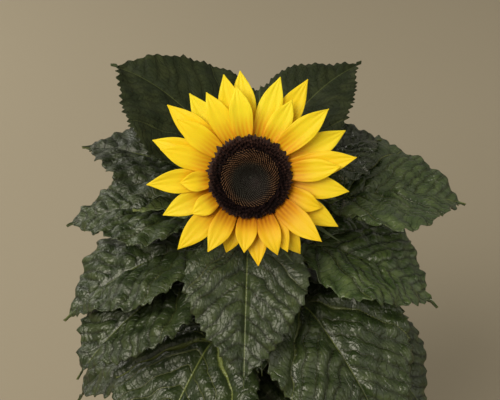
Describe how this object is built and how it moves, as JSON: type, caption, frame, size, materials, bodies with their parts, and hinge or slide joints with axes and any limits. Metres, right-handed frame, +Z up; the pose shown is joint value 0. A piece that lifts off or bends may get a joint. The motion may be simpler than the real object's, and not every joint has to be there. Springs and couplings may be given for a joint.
{
  "type": "potted sunflower plant",
  "caption": "Dwarf sunflower plant with a large yellow bloom and broad heart-shaped leaves round a short stem, growing in a plain clay pot that stands on its flat base.",
  "frame": {"origin": "centre of the pot's flat underside, on the surface that it stands on", "axes": "+Z up the stem; the bloom faces -Y and a little upward; +X is to the right of someone facing the bloom"},
  "size_m": [0.2977, 0.2728, 0.4488],
  "materials": {
    "pot": "matt fired clay",
    "soil": "damp peaty soil",
    "stem": "green, ribbed and hairy",
    "leaf": "dark green, puckered, with a soft gloss",
    "young_leaf": "mid green, soft gloss",
    "cup": "green, hairy",
    "disc": "dark brown florets",
    "petal": "bright yellow, finely grooved"
  },
  "bodies": {
    "root": {"pot": "pot", "soil": "soil", "stem": "stem", "leaf_upper_right": "leaf", "leaf_upper_left": "leaf", "leaf_young_left": "young_leaf", "leaf_upper_back": "leaf", "leaf_right_high": "leaf", "leaf_left_high": "leaf", "leaf_front": "leaf", "leaf_right_side": "leaf", "leaf_left_side": "leaf", "leaf_back_high": "leaf", "leaf_left_front": "leaf", "leaf_right_front": "leaf", "leaf_left_mid": "leaf", "leaf_right_back": "leaf", "leaf_back_left": "leaf", "leaf_lower_right": "leaf", "leaf_right_mid": "leaf", "leaf_back_right": "leaf", "leaf_lower_left": "leaf", "leaf_low_back": "leaf", "leaf_low_left": "leaf", "leaf_low_front": "leaf", "leaf_low_right": "leaf", "flower_cup": "cup", "seed_disc": "disc", "petal_01": "petal", "petal_02": "petal", "petal_03": "petal", "petal_04": "petal", "petal_05": "petal", "petal_06": "petal", "petal_07": "petal", "petal_08": "petal", "petal_09": "petal", "petal_10": "petal", "petal_11": "petal", "petal_12": "petal", "petal_13": "petal", "petal_14": "petal", "petal_15": "petal", "petal_16": "petal", "petal_17": "petal", "petal_18": "petal", "petal_19": "petal", "petal_20": "petal", "petal_21": "petal", "petal_22": "petal", "petal_23": "petal", "petal_24": "petal", "petal_25": "petal", "petal_26": "petal", "petal_27": "petal", "petal_28": "petal", "petal_29": "petal", "petal_30": "petal", "petal_31": "petal", "petal_32": "petal"}
  },
  "joints": []
}
